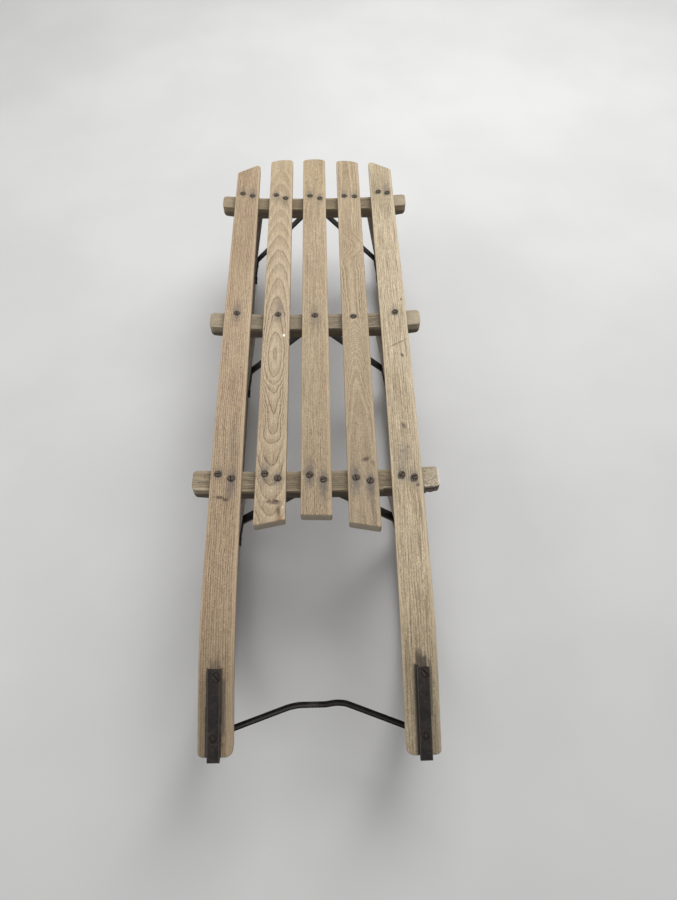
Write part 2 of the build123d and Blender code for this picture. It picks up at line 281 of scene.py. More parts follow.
def outer_slat(tree, side):
    across, v, up = side_board(tree, side)
    across = across + toe_shift(v, toe_start) * side - outer_shift
    ahead = bend_start - side_ahead[side] - v
    high = up + (bend_radius - slat_thick)
    angle = ahead.run("ARCTAN2", high).clamp(0.0, bend_angle)
    sine, cosine = angle.run("SINE"), angle.run("COSINE")
    depth = bend_radius - (ahead * sine + high * cosine)
    along = bend_start - angle * bend_radius - (ahead * cosine - high * sine)
    return across, along, depth


def runner_board(tree, side):
    across, v, up = side_board(tree, side)
    across = across + toe_shift(v, runner_toe_start) * side
    ahead = runner_bend_v - side_ahead[side] - v
    low = (runner_low_w + runner_radius) - up
    angle = ahead.run("ARCTAN2", low).clamp(0.0, runner_turn)
    sine, cosine = angle.run("SINE"), angle.run("COSINE")
    reach = ahead * sine + low * cosine
    along = runner_bend_v - angle * runner_radius - (ahead * cosine - low * sine)
    return across, along, reach - (runner_radius - runner_depth)


def beam_board(tree, row_v):
    x, v, z = place(tree)
    return v - row_v, x, beam_top - z


def leg_board(tree, row_v, side):
    x, v, z = place(tree)
    outward = x * side - leg_top_x + (z - beam_under) * leg_slope
    return v - row_v, z, outward


# The wood
def curve(tree, value, points):
    """A soft line through pairs of a place along the board and a height, both in mm or rings."""
    points = sorted(points)
    start, end = points[0][0], points[-1][0]
    top = max(height for _, height in points)
    node = tree.nodes.new("ShaderNodeFloatCurve")
    line = node.mapping.curves[0]
    line.points[0].location = (0.0, points[0][1] / top)
    line.points[1].location = (1.0, points[-1][1] / top)
    for spot_along, height in points[1:-1]:
        line.points.new((spot_along - start) / (end - start), height / top)
    node.mapping.update()
    put(tree, node.inputs["Value"], ((value - start) / (end - start)).clamp())
    return Value(tree, node.outputs[0]) * top


def spot(tree, board, ragged, centre, reach, turn=0.0, core=0.25):
    """1 in the middle of a mark on the wood, fading unevenly to 0 at its reach."""
    across = board[0] - centre[0]
    along = board[1] - centre[1]
    if turn:
        sine, cosine = math.sin(turn), math.cos(turn)
        across, along = across * cosine + along * sine, along * cosine - across * sine
    return (hypot(across / reach[0], along / reach[1]) + ragged).smooth(1.0, core)


# A curve gives heights above 0, so a middle line that doesn't sway is at this height
no_sway = 20.0


def rings(tree, board, grain, wander):
    """How many growth rings lie between a point and the board's middle line or its pith,
    and how many there are to a mm there."""
    across, along, depth = board
    beside = across - grain["across"] + wander * grain["wander"]
    if "sway" in grain:
        beside = beside + curve(tree, along, grain["sway"]) - no_sway
    if "arches" in grain:
        count = curve(tree, along, grain["arches"])
        bow = curve(tree, along, grain["bows"])
        fan = beside / (bow * grain["pitch"])
        count = count + (beside * beside / bow * 0.5 - depth) / grain["pitch"]
        return count, hypot(fan, grain["climb"]).run("MAXIMUM", 0.02)
    gone = along - grain["along"]
    away = (gone * gone + grain["soft"] ** 2).root() - grain["soft"]
    slope = gone.smooth(-30.0, 30.0, grain["ahead"], grain["behind"])
    below = away * slope + grain["depth"] - depth
    far = hypot(beside, below)
    return far / grain["pitch"], (beside.size() / far).run("MAXIMUM", 0.15) / grain["pitch"]


def ring_pattern(tree, board, grain, seed, fibre, speckle, cloud):
    """How strong the dark late wood of a ring is at a point, and the pale early wood."""
    across, along, depth = board
    wander = noise(tree, board, (0.004, 0.009, 0.01), 1.0, 0.5, seed + 3.0) - 0.5
    for centre, reach, power in grain["swirl"]:
        curl = noise(tree, board, (0.045, 0.022, 0.03), 1.5, 0.5, seed + 9.0, 0.4) - 0.5
        wander = wander + curl * spot(tree, board, 0.0, centre, reach, core=0.1) * power
    count, per_mm = rings(tree, board, grain, wander)

    ripple = noise(tree, board, (0.09, 0.045, 0.05), 1.0, 0.5, seed + 15.0)
    jag = (fibre - 0.5) * 1.6 + (speckle - 0.5) * 3.0 + (ripple - 0.5) * grain["ripple"]
    phase = count + jag * per_mm + (cloud - 0.5) * 0.5
    turn = phase.run("FRACT")
    gap = (-turn + 1.0) / per_mm
    shade = turn.run("POWER", grain["fade"]) * turn.smooth(1.0, 0.9)
    thin = grain["hair"]
    hair = gap.smooth(thin, thin * 0.45) * gap.smooth(0.0, thin * 0.18)
    late = shade * grain["shade"] + hair * grain["line"]
    early = turn.smooth(0.0, 0.12) * turn.smooth(0.6, 0.25)

    # Some years are weaker, and so are some stretches of the board
    year = noise(tree, (phase.run("FLOOR"), along, depth), (1.0, 0.006, 0.0), 0.0, 0.5, seed + 2.0)
    late = late * year.smooth(0.25, 0.65, grain["least"], 1.0)
    for stretch in grain["faint"]:
        late = late * along.smooth(*stretch)
    if "quiet" in grain:
        inner, outer, rear_end, front_end, left = grain["quiet"]
        aside = across.size().smooth(inner, outer) * along.smooth(rear_end, front_end)
        late = late * (aside * (left - 1.0) + 1.0)
    return late, early


def rotten_end(tree, board, colour, cloud, seed, start, end):
    """A beam's soft end from start to end: pale crumbs, and painted shade in a hollow low in front."""
    across, along, depth = board
    soft_end = along.smooth(start, end)
    crumbs = noise(tree, board, (0.4, 0.36, 0.4), 3.0, 0.75, seed + 19.0)
    front_part = (across + (cloud - 0.5) * 8.0).smooth(6.0, -11.0, 0.35, 1.0)
    below_top = depth + (along - beam_taper_x) * beam_taper
    outer_line = along.smooth(176.0, 178.5) * below_top.smooth(4.5, 2.0) * 0.7
    bright = crumbs.smooth(0.53, 0.66) * front_part * below_top.smooth(11.0, 5.0)
    colour = mixed(tree, soft_end * crumbs.smooth(0.47, 0.36) * 0.45, colour, (0.115, 0.090, 0.062))
    colour = mixed(tree, soft_end * bright.run("MAXIMUM", outer_line), colour, (0.74, 0.70, 0.62))
    # Painted shade in the rotten hollow at the low front corner
    hollow_shade = soft_end * across.smooth(-5.0, -10.0) * below_top.smooth(2.0, 6.0)
    colour = mixed(tree, hollow_shade, colour, (0.030, 0.023, 0.017))
    bare = hollow_shade * below_top.smooth(6.0, 9.0) * crumbs.smooth(0.40, 0.54)
    return mixed(tree, bare * 0.85, colour, (0.210, 0.168, 0.130))


def stained(tree, board, colour, fibre, speckle, blotch, marks, strips, screws):
    """Marks, dirt and painted shadow beside the irons, then stains and painted shade round the screws."""
    across, along, depth = board
    ragged = (fibre - 0.5) * 0.9 + blotch * 1.5
    top_only = depth.smooth(4.0, 1.5)
    for centre, reach, angle, stain, strength, core in marks:
        mask = spot(tree, board, ragged, centre, reach, angle, core) * top_only
        colour = mixed(tree, mask * strength, colour, stain)
    for middle, width, rear, front, stain, strength, soft in strips:
        beside = ((across - middle).size() - width / 2) / soft
        beyond = (along - (rear + front) / 2).size() - (rear - front) / 2
        past = (beyond / (soft * 3.0)).run("MAXIMUM", -1.0)
        mask = (beside.run("MAXIMUM", past) + ragged * 1.2).smooth(1.0, -0.6) * top_only
        colour = mixed(tree, mask * strength, colour, stain)
    for centre, reach_back, reach_front, strength in screws:
        run_out = along - centre[1]
        reach = run_out.smooth(-4.0, 4.0, reach_front, reach_back)
        smear = hypot((across - centre[0]) / 10.5, run_out / reach) + ragged * 0.9
        colour = mixed(tree, smear.smooth(1.15, 0.05) * strength * top_only, colour, (0.100, 0.086, 0.076))
        # The near-black ring round each head is painted shade of a countersunk gap
        near = hypot(across - centre[0], run_out) + blotch * 3.0 + (speckle - 0.5) * 4.0
        colour = mixed(tree, near.smooth(7.0, 4.6) * 0.9, colour, (0.035, 0.029, 0.024))
    return colour


def end_grain(tree, board, colour, fibre, blotch, grain, strength):
    """The sawn ends, grey where rain and dirt get in."""
    across, _, depth = board
    end = facing(tree)[grain["end_axis"]].size().smooth(0.6, 0.95)
    tone = grain["end_tone"]
    year_lines = (hypot(across + 6.0, depth + 34.0) / 2.6 + (fibre - 0.5) * 0.3).run("FRACT")
    grey = mixed(tree, year_lines.smooth(0.55, 0.95) * 0.3, tone, shaded(tone, 0.55))
    grey = mixed(tree, blotch.smooth(0.02, 0.2) * 0.35, grey, shaded(tone, 0.6))
    return mixed(tree, end * strength, colour, grey)


def wood(name, board_of, half, seed, colours, grain, marks=(), strips=(), screws=(), ends=0.6, edge=0.5):
    """Weathered ash on a board that is twice half wide. ends says how strong its sawn ends
    show, and edge its rubbed edges and the painted highlight along one of them."""
    material, tree, shader = new_material(name)
    across, along, depth = board = board_of(tree)
    fibre = noise(tree, board, (1.1, 0.06, 0.9), 3.0, 0.6, seed)
    strands = noise(tree, board, (0.5, 0.014, 0.4), 2.0, 0.6, seed + 5.0)
    pores = noise(tree, board, (1.2, 0.19, 1.2), 2.0, 0.5, seed + 7.0)
    dashes = noise(tree, board, (0.55, 0.09, 0.5), 2.0, 0.6, seed + 6.0)
    speckle = noise(tree, board, (0.52, 0.36, 0.45), 2.0, 0.68, seed + 13.0)
    cloud = noise(tree, board, (0.03, 0.008, 0.03), 2.0, 0.5, seed + 11.0)
    blotch = noise(tree, board, (0.24, 0.13, 0.2), 3.0, 0.7, seed + 17.0) - 0.5
    ring, early = ring_pattern(tree, board, grain, seed, fibre, speckle, cloud)
    flecks = (pores + (dashes - 0.5) * 0.5).smooth(0.48, 0.66) * (ring * 0.7 + 0.3)

    # Rings, strands and pores
    pale, tan, line = colours
    light = [min(1.0, part * factor) for part, factor in zip(pale, (1.2, 1.205, 1.235))]
    colour = mixed(tree, cloud.smooth(0.3, 0.7), pale, tan)
    colour = mixed(tree, early * grain["contrast"] * grain["early"], colour, light)
    colour = mixed(tree, ring * grain["contrast"], colour, line)
    colour = mixed(tree, strands.smooth(0.52, 0.64) * grain["streak"], colour, shaded(line, 0.9))
    colour = mixed(tree, strands.smooth(0.46, 0.36) * grain["streak"] * 1.5, colour, light)
    colour = mixed(tree, flecks * grain["flecks"], colour, shaded(line, 0.45))
    if "rubbed_ends" in grain:
        start, end, left, right = grain["rubbed_ends"]
        rubbed = (along.size() + (cloud - 0.5) * 12.0).smooth(start, end) * depth.smooth(9.0, 2.0)
        rubbed = rubbed * along.smooth(-1.0, 1.0, left, right)
        colour = mixed(tree, rubbed, colour, (0.45, 0.375, 0.265))

    # Fine light and dark, and the fading to the front and to the rear
    fine = fibre.smooth(0.3, 0.7, 1.08, 0.9) * dashes.smooth(0.36, 0.64, 1.06, 0.93)
    fine = fine * speckle.smooth(0.34, 0.66, 1.14, 0.85)
    weather = tree.nodes.new("ShaderNodeCombineColor")
    rear_from, rear_to, rear = grain["rear"]
    for socket, front_tint, rear_tint in zip(weather.inputs, (1.0, 0.985, 0.975), (1.0, 0.99, 0.955)):
        faded = along.smooth(330.0, -60.0, 1.0, grain["front"] * front_tint)
        faded = faded * along.smooth(rear_from, rear_to, 1.0, rear * rear_tint)
        put(tree, socket, fine * faded)
    colour = mixed(tree, 1.0, colour, weather.outputs[0], "MULTIPLY")

    # Pale rubbed edges, a painted highlight along the edge where across is positive, and painted
    # shade on the sides below the top
    blur = (cloud - 0.5) * 3.0 + (speckle - 0.5) * 4.0
    worn_and_lit_rim = (across.size() + blur).smooth(half - 3.2, half - 0.6)
    # The wider band on the side where across is positive is a painted highlight
    worn_and_lit_rim = worn_and_lit_rim.run("MAXIMUM", (across + blur).smooth(half - 6.5, half - 3.0) * 0.75)
    colour = mixed(tree, worn_and_lit_rim * depth.smooth(4.0, 0.5) * edge, colour, light)
    # Painted shade on the sides below the top
    colour = mixed(tree, depth.smooth(2.0, 9.0) * grain["side_shade"], colour, grain["side_shade_colour"])

    if "rotten" in grain:
        colour = rotten_end(tree, board, colour, cloud, seed, *grain["rotten"])
    colour = stained(tree, board, colour, fibre, speckle, blotch, marks, strips, screws)
    colour = end_grain(tree, board, colour, fibre, blotch, grain, ends)

    tree.links.new(colour, shader.inputs["Base Color"])
    put(tree, shader.inputs["Roughness"], (ring * 0.08 + fibre * 0.22 + 0.5).clamp(0.3, 1.0))
    shader.inputs["Specular IOR Level"].default_value = 0.32
    height = fibre * 0.55 - ring * 0.5 - flecks * 0.9 + strands * 0.5 + speckle * 0.3
    add_bump(tree, shader, height, 0.22 * MM, 0.75)
    return material


# Colours are as they look in plain light: pale wood, tan wood, and the ring lines
tan_wood = ((0.438, 0.342, 0.218), (0.376, 0.284, 0.174), (0.165, 0.108, 0.066))
arched_wood = ((0.455, 0.358, 0.236), (0.390, 0.297, 0.188), (0.165, 0.108, 0.066))
red_wood = ((0.455, 0.349, 0.226), (0.388, 0.282, 0.176), (0.205, 0.118, 0.066))
pale_wood = ((0.520, 0.428, 0.290), (0.440, 0.350, 0.225), (0.200, 0.143, 0.087))
beam_wood = ((0.262, 0.213, 0.145), (0.200, 0.159, 0.106), (0.075, 0.055, 0.036))
runner_wood = ((0.190, 0.146, 0.103), (0.135, 0.099, 0.070), (0.060, 0.042, 0.030))

wavy_wood = tinted(tan_wood, (0.925, 0.925, 0.925))
tones = {"slat_1": red_wood, "slat_2": arched_wood, "slat_3": tan_wood, "slat_4": wavy_wood,
         "slat_5": pale_wood}

# What a grain says:
# across and depth: how far beside and below the middle of the board's top the pith runs
# along, soft, behind and ahead: from where on, how softly and how fast it runs deeper
# pitch: mm to a ring
# wander, ripple and swirl: how the rings stray, in mm, how jagged they are, and where
# they curl
# contrast, fade, shade, hair, line, least and early: how dark the late wood is and how
# it starts, its soft part, the width and strength of its dark line, the weakest years,
# and how pale the early wood is
# streak and flecks: strands and pores
# faint and quiet: where the rings are weaker
# front and rear: how dark the board gets to the front, and from where to where and how
# much to the rear
# side_shade and side_shade_colour: painted shade on the lower part of the sides
# end_axis and end_tone: where the sawn ends face, and their grey
# arches, bows, climb and sway, where the rings are listed: their places along the
# board, how round they are, how fast they climb, and how their middle line sways
straight = dict(
    across=120.0, depth=40.0, along=300.0, soft=60.0, behind=0.01, ahead=0.02, pitch=3.1,
    wander=14.0, ripple=2.0, swirl=(), contrast=0.5, fade=2.0, shade=0.5, hair=1.15, line=0.6,
    least=0.35, early=0.55, streak=0.25, flecks=0.6, faint=(), front=1.0, rear=(540.0, 660.0, 1.0),
    side_shade=0.45, side_shade_colour=(0.145, 0.105, 0.075), end_axis=1, end_tone=(0.43, 0.385, 0.315))
grains = {
    "slat_1": dict(
        straight, pitch=2.8, contrast=0.85, wander=6.0, streak=0.3, fade=1.6, front=0.865,
        rear=(350.0, 520.0, 0.865), flecks=0.4, ripple=1.2, least=0.5,
        faint=((-130.0, -210.0, 1.0, 0.6),), swirl=(((3.0, -120.0), (14.0, 75.0), 1.2),)),
    "slat_2": dict(
        straight, across=0.5, pitch=3.1, wander=6.0, contrast=1.0, fade=4.0, shade=0.3, hair=2.0, line=0.85,
        least=0.6, streak=0.22, climb=0.031, ripple=5.0, front=0.92, rear=(480.0, 620.0, 0.92), flecks=0.45,
        faint=((610.0, 470.0, 0.3, 1.0), (-28.0, 4.0, 0.6, 1.0), (300.0, 360.0, 1.0, 0.74),
               (78.0, 60.0, 1.0, 0.75), (42.0, 28.0, 1.0, 2.0)),
        quiet=(11.0, 17.0, 330.0, 80.0, 0.5),
        arches=((-112, 12), (-90, 11), (-65, 10), (-40, 9), (-15, 8), (18, 7), (56, 6), (72, 5), (112, 4),
                (151, 3), (169, 2), (184, 1), (230, 0), (279, 1), (324, 2), (365, 3), (410, 4), (447, 5),
                (484, 6), (523, 7), (560, 8), (600, 9), (640, 10), (680, 11), (722, 12)),
        bows=((-112, 56), (-40, 52), (18, 50), (56, 44), (77, 27), (112, 15), (150, 20), (182, 22), (230, 19),
              (285, 24), (365, 38), (410, 46), (450, 58), (722, 60))),
    "slat_3": dict(straight, across=-150.0, pitch=2.7, contrast=0.33, wander=10.0, streak=0.35, front=0.87),
    "slat_4": dict(
        straight, across=-4.0, pitch=3.1, wander=7.0, contrast=0.58, fade=2.4, streak=0.2, climb=0.03,
        front=0.8, ripple=5.0, hair=1.6, early=1.2, flecks=0.35, faint=((205.0, 170.0, 1.0, 0.5),),
        arches=((-112, 0.0), (60, 0.3), (125, 0.7), (165, 1.2), (206, 2.4), (232, 4.0), (290, 13.0),
                (312, 14.2), (380, 14.3), (500, 14.4), (722, 14.8)),
        bows=((-112, 60), (90, 34), (200, 12), (250, 10), (300, 12), (360, 16), (480, 26), (722, 30)),
        sway=((-112, 20), (425, 20), (450, 24), (467, 16), (480, 8), (494, 3), (505, 8), (526, 19),
              (552, 25), (600, 22), (650, 21), (722, 20)),
        swirl=(((-6.0, 500.0), (26.0, 48.0), 1.8),)),
    "slat_5": dict(straight, across=-95.0, pitch=3.0, contrast=0.5, wander=10.0, streak=0.5, front=0.94,
                   rear=(540.0, 660.0, 0.86)),
}

# X and v of the slats' screws
seat_screws = {
    "slat_1": ((-141.3, 645.8), (-122.4, 640.2), (-134.2, 322.3), (-142.2, 2.4), (-123.0, -4.4)),
    "slat_2": ((-74.9, 645.0), (-56.6, 635.3), (-63.1, 321.3), (-74.5, 3.7), (-55.4, -3.9)),
    "slat_3": ((-8.7, 642.4), (10.6, 634.9), (-0.6, 318.3), (-9.7, 1.2), (10.2, -7.0)),
    "slat_4": ((58.8, 640.4), (79.0, 638.2), (65.2, 314.3), (57.5, -5.0), (77.8, -10.6)),
    "slat_5": ((126.7, 650.2), (144.0, 644.8), (137.0, 321.3), (124.1, -1.9), (141.9, -7.2)),
}
slat_centres = {"slat_1": -132.7, "slat_2": -66.0, "slat_3": 0.0, "slat_4": 68.0, "slat_5": 134.1}

brown = (0.075, 0.042, 0.024)
dark = (0.060, 0.048, 0.040)
grey_blue = (0.105, 0.098, 0.098)
black = (0.030, 0.026, 0.026)
# X and v of the middle, half sizes, turn, colour, strength and how much of it is full
marks = {
    "slat_1": (
        ((-137.5, -36.0), (9.5, 4.2), -0.15, brown, 0.85, 0.25),
        ((-129.0, -39.0), (8.0, 4.4), 0.1, brown, 0.85, 0.25),
        ((-123.5, -26.0), (8.5, 27.0), 0.0, (0.115, 0.095, 0.080), 0.62, 0.1),
        ((-124.0, 55.0), (10.0, 60.0), 0.0, grey_blue, 0.3, 0.0),
        ((-121.0, 203.0), (1.6, 2.2), 0.0, dark, 0.8, 0.3),
        ((-119.5, -354.0), (3.6, 11.0), 0.0, (0.060, 0.042, 0.033), 0.95, 0.4),
        ((-117.0, -364.0), (6.0, 4.0), 0.0, (0.120, 0.070, 0.045), 0.7, 0.2),
    ),
    "slat_2": (
        ((-61.0, -43.0), (15.0, 5.0), -0.1, brown, 0.78, 0.25),
        ((-56.0, -41.0), (6.0, 3.2), -0.2, (0.040, 0.022, 0.014), 0.9, 0.2),
        ((-53.5, -57.0), (4.6, 12.0), 0.0, brown, 0.78, 0.2),
        ((-51.0, -72.0), (6.0, 12.0), 0.0, (0.26, 0.125, 0.050), 0.7, 0.1),
        ((-72.0, -90.0), (19.0, 6.0), 0.05, (0.26, 0.150, 0.070), 0.75, 0.1),
        ((-47.0, -51.0), (1.6, 2.2), 0.0, (0.75, 0.70, 0.60), 0.8, 0.4),
        ((-52.2, 273.5), (3.0, 3.8), 0.0, (0.90, 0.86, 0.77), 1.0, 0.5),
    ),
    "slat_3": (
        ((2.8, 692.8), (1.2, 7.0), 0.35, dark, 0.6, 0.3),
        ((5.8, 692.8), (1.2, 7.0), -0.35, dark, 0.6, 0.3),
        ((14.0, 160.0), (1.0, 16.0), 0.02, (0.36, 0.17, 0.08), 0.5, 0.3),
    ),
    "slat_4": (
        ((73.3, 26.1), (9.0, 5.5), 0.3, brown, 0.9, 0.2),
        ((83.3, 19.0), (3.5, 9.0), 0.2, brown, 0.55, 0.2),
        ((62.0, 90.0), (1.2, 5.0), 0.2, dark, 0.6, 0.3),
        ((79.0, -60.0), (2.0, 30.0), 0.1, grey_blue, 0.45, 0.1),
    ),
    "slat_5": (
        ((146.6, -19.0), (3.0, 3.5), 0.0, brown, 0.85, 0.4),
        ((142.4, 225.0), (3.4, 5.6), 0.2, dark, 0.85, 0.3),
        ((150.5, 352.0), (2.6, 4.6), 0.0, dark, 0.8, 0.3),
        ((137.0, 252.0), (22.0, 1.5), 0.46, (0.17, 0.11, 0.07), 0.75, 0.5),
        ((131.0, 36.0), (16.0, 32.0), 0.0, (0.20, 0.17, 0.14), 0.52, 0.0),
        ((128.0, 41.0), (3.4, 3.4), 0.0, dark, 0.6, 0.0),
        ((137.0, 48.0), (3.0, 4.4), 0.0, dark, 0.5, 0.0),
        ((134.5, 86.0), (5.0, 10.0), 0.3, dark, 0.75, 0.1),
    ),
}
# Strips on the slats beside the straps: dirt, paler wood, and painted shadow in the near-black
# lines hugging the straps' edges. Middle and width across the slat itself, rear and front end
# along it, colour, strength and how softly it ends
strips = {
    "slat_1": (
        (8.8, 5.0, -285.0, -352.0, (0.120, 0.098, 0.080), 0.7, 2.2),
        (16.0, 4.0, -290.0, -385.0, (0.600, 0.480, 0.320), 0.36, 2.6),
        (-17.0, 6.0, -290.0, -385.0, (0.215, 0.165, 0.115), 0.45, 4.0),
        (-1.5, 14.0, -260.0, -276.0, dark, 0.42, 2.2),
        # These dark lines hugging the left strap's edges are painted shadow
        (-10.8, 2.4, -270.0, -385.0, dark, 0.9, 0.6),
        (-12.4, 1.6, -318.0, -385.0, dark, 0.8, 0.7),
        (6.0, 3.4, -270.0, -338.0, dark, 0.9, 0.6),
        (5.4, 2.2, -330.0, -385.0, (0.035, 0.030, 0.027), 0.9, 0.6),
    ),
    "slat_5": (
        (1.6, 13.0, -258.0, -275.0, black, 0.78, 1.8),
        (-1.0, 7.5, -250.0, -262.0, (0.080, 0.058, 0.042), 0.65, 2.4),
        # The near-black line hugging the right strap's inner edge, and its soft edge, are painted shadow
        (-5.2, 3.8, -268.0, -385.0, (0.014, 0.012, 0.011), 1.0, 0.5),
        (-7.2, 4.0, -268.0, -385.0, (0.060, 0.046, 0.036), 0.7, 1.4),
        (12.4, 2.6, -262.0, -330.0, (0.150, 0.120, 0.095), 0.7, 1.2),
        (16.5, 6.0, -330.0, -385.0, (0.260, 0.215, 0.160), 0.4, 3.0),
    ),
}
# How far each screw's stain runs to the rear and to the front, and its strength
smears = {
    "slat_1": ((22, 16, 0.45), (34, 18, 0.6), (40, 30, 0.65), (20, 16, 0.5), (26, 26, 0.6)),
    "slat_2": ((14, 30, 0.5), (14, 34, 0.55), (48, 26, 0.6), (26, 24, 0.75), (18, 20, 0.65)),
    "slat_3": ((34, 18, 0.6), (20, 24, 0.6), (34, 44, 0.55), (32, 30, 0.85), (20, 46, 0.8)),
    "slat_4": ((30, 12, 0.5), (30, 12, 0.5), (10, 8, 0.3), (34, 38, 0.85), (14, 42, 0.85)),
    "slat_5": ((22, 10, 0.35), (46, 10, 0.7), (24, 14, 0.4), (34, 14, 0.6), (28, 18, 0.6)),
}


def slat_x(name, x, v):
    """X across its own slat of a point at X and v, with the outer slats' run inwards taken off."""
    if name in ("slat_1", "slat_5"):
        side = -1 if name == "slat_1" else 1
        shift = toe_in * (max(0.0, toe_start - v) / (toe_start - toe_tip)) ** 2
        return x - slat_centres[name] + side * shift
    return x - slat_centres[name]


def slat_board(name):
    if name == "slat_1":
        return lambda tree: outer_slat(tree, -1)
    if name == "slat_5":
        return lambda tree: outer_slat(tree, 1)
    lean = {"slat_2": -inner_slat_lean, "slat_3": 0.0, "slat_4": inner_slat_lean}[name]
    top = middle_slat_top if name == "slat_3" else inner_slat_top
    return lambda tree: flat_board(tree, slat_centres[name], lean, top)


def finish_node(name, material):
    """Gives a CAD node its material."""
    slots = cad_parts[name].data.materials
    slots.clear()
    slots.append(material)


for number, name in enumerate(slat_centres):
    own_marks = [
        ((slat_x(name, x, v), v), reach, turn, stain, strength, core)
        for (x, v), reach, turn, stain, strength, core in marks[name]
    ]
    own_screws = [
        ((slat_x(name, x, v), v), *smear)
        for (x, v), smear in zip(seat_screws[name], smears[name])
    ]
    finish_node(name, wood(
        name + "_wood", slat_board(name), slat_half, 10.0 * number + 1.0, tones[name],
        grains[name], own_marks, strips.get(name, ()), own_screws))

# How light the painted shade on each beam's front face is, how its wood is tinted, and how
# rubbed it is at its left and right end
painted_face_light = {"front": 0.72, "middle": 1.15, "rear": 1.75}
row_tone = {"front": (1.02, 1.0, 0.93), "middle": (1.01, 1.03, 1.02), "rear": (0.90, 0.85, 0.75)}
row_ends = {"front": (0.2, 0.8), "middle": (0.35, 0.75), "rear": (0.3, 0.6)}
# The colour of the painted shade on the beams' sides
beam_side_shade = (0.075, 0.057, 0.041)
rubbed_from, rubbed_to = 150.0, 165.0
rotten_part = (154.0, 160.0)
fresh = (0.520, 0.440, 0.320)
# The marks on the front beam, as on the slats, but v across and X along the beam
front_marks = (
    ((-2.8, -166.0), (0.8, 14.0), 0.0, dark, 0.75, 0.3),
    ((6.0, -163.0), (5.0, 1.6), 0.0, (0.130, 0.065, 0.035), 0.6, 0.2),
    ((-14.0, -165.0), (2.0, 20.0), 0.0, fresh, 0.5, 0.3),
    ((1.5, -99.0), (2.2, 4.0), 0.0, dark, 0.8, 0.2),
    ((7.0, -98.0), (0.8, 14.0), 0.0, fresh, 0.5, 0.3),
    ((-5.0, -97.0), (0.8, 12.0), 0.0, fresh, 0.5, 0.3),
    ((-13.2, 104.0), (1.3, 9.0), 0.0, fresh, 0.9, 0.4),
    ((-4.0, 160.0), (6.0, 1.4), -0.9, (0.640, 0.580, 0.480), 0.5, 0.1),
)
# The legs' wood by row, and each side's painted light and shade: right legs lit, left ones shaded
leg_tones = {
    "front": ((0.320, 0.284, 0.238), (0.250, 0.217, 0.180), (0.115, 0.094, 0.075)),
    "middle": ((0.330, 0.290, 0.240), (0.250, 0.220, 0.180), (0.110, 0.090, 0.072)),
    "rear": ((0.200, 0.171, 0.132), (0.142, 0.118, 0.092), (0.070, 0.053, 0.039)),
}
painted_leg_light = {"left": 0.85, "right": 1.3}

for number, (row, row_v) in enumerate(rows):
    grain = dict(straight, across=35.0, depth=20.0, along=0.0, behind=0.015, ahead=0.01,
                 pitch=2.9, wander=8.0, contrast=0.5, end_axis=0, side_shade=0.8, flecks=0.4,
                 side_shade_colour=shaded(beam_side_shade, painted_face_light[row]), streak=0.42,
                 rubbed_ends=(rubbed_from, rubbed_to, *row_ends[row]))
    if row == "front":
        grain["rotten"] = rotten_part
    finish_node("beam_" + row, wood(
        "beam_" + row + "_wood", lambda tree: beam_board(tree, row_v), beam_half,
        60.0 + 7.0 * number, tinted(beam_wood, row_tone[row]), grain,
        front_marks if row == "front" else (), ends=0.2, edge=0.95))
    for side_name, side in sides:
        grain = dict(straight, across=30.0, depth=26.0, along=100.0, pitch=2.4, wander=6.0,
                     contrast=0.7, end_axis=2)
        node = "leg_" + row + "_" + side_name
        finish_node(node, wood(
            node + "_wood", lambda tree: leg_board(tree, row_v, side), leg_half,
            90.0 + 5.0 * number + 2.0 * side, tinted(leg_tones[row], [painted_leg_light[side_name]] * 3),
            grain, edge=0.4))
for side_name, side in sides:
    grain = dict(straight, across=-60.0 * side, depth=30.0, pitch=2.8, wander=9.0, contrast=0.7,
                 streak=0.4, end_tone=(0.26, 0.225, 0.175))
    finish_node("runner_" + side_name, wood(
        "runner_" + side_name + "_wood", lambda tree: runner_board(tree, side), runner_half,
        130.0 + 9.0 * side, runner_wood, grain, edge=0.4))


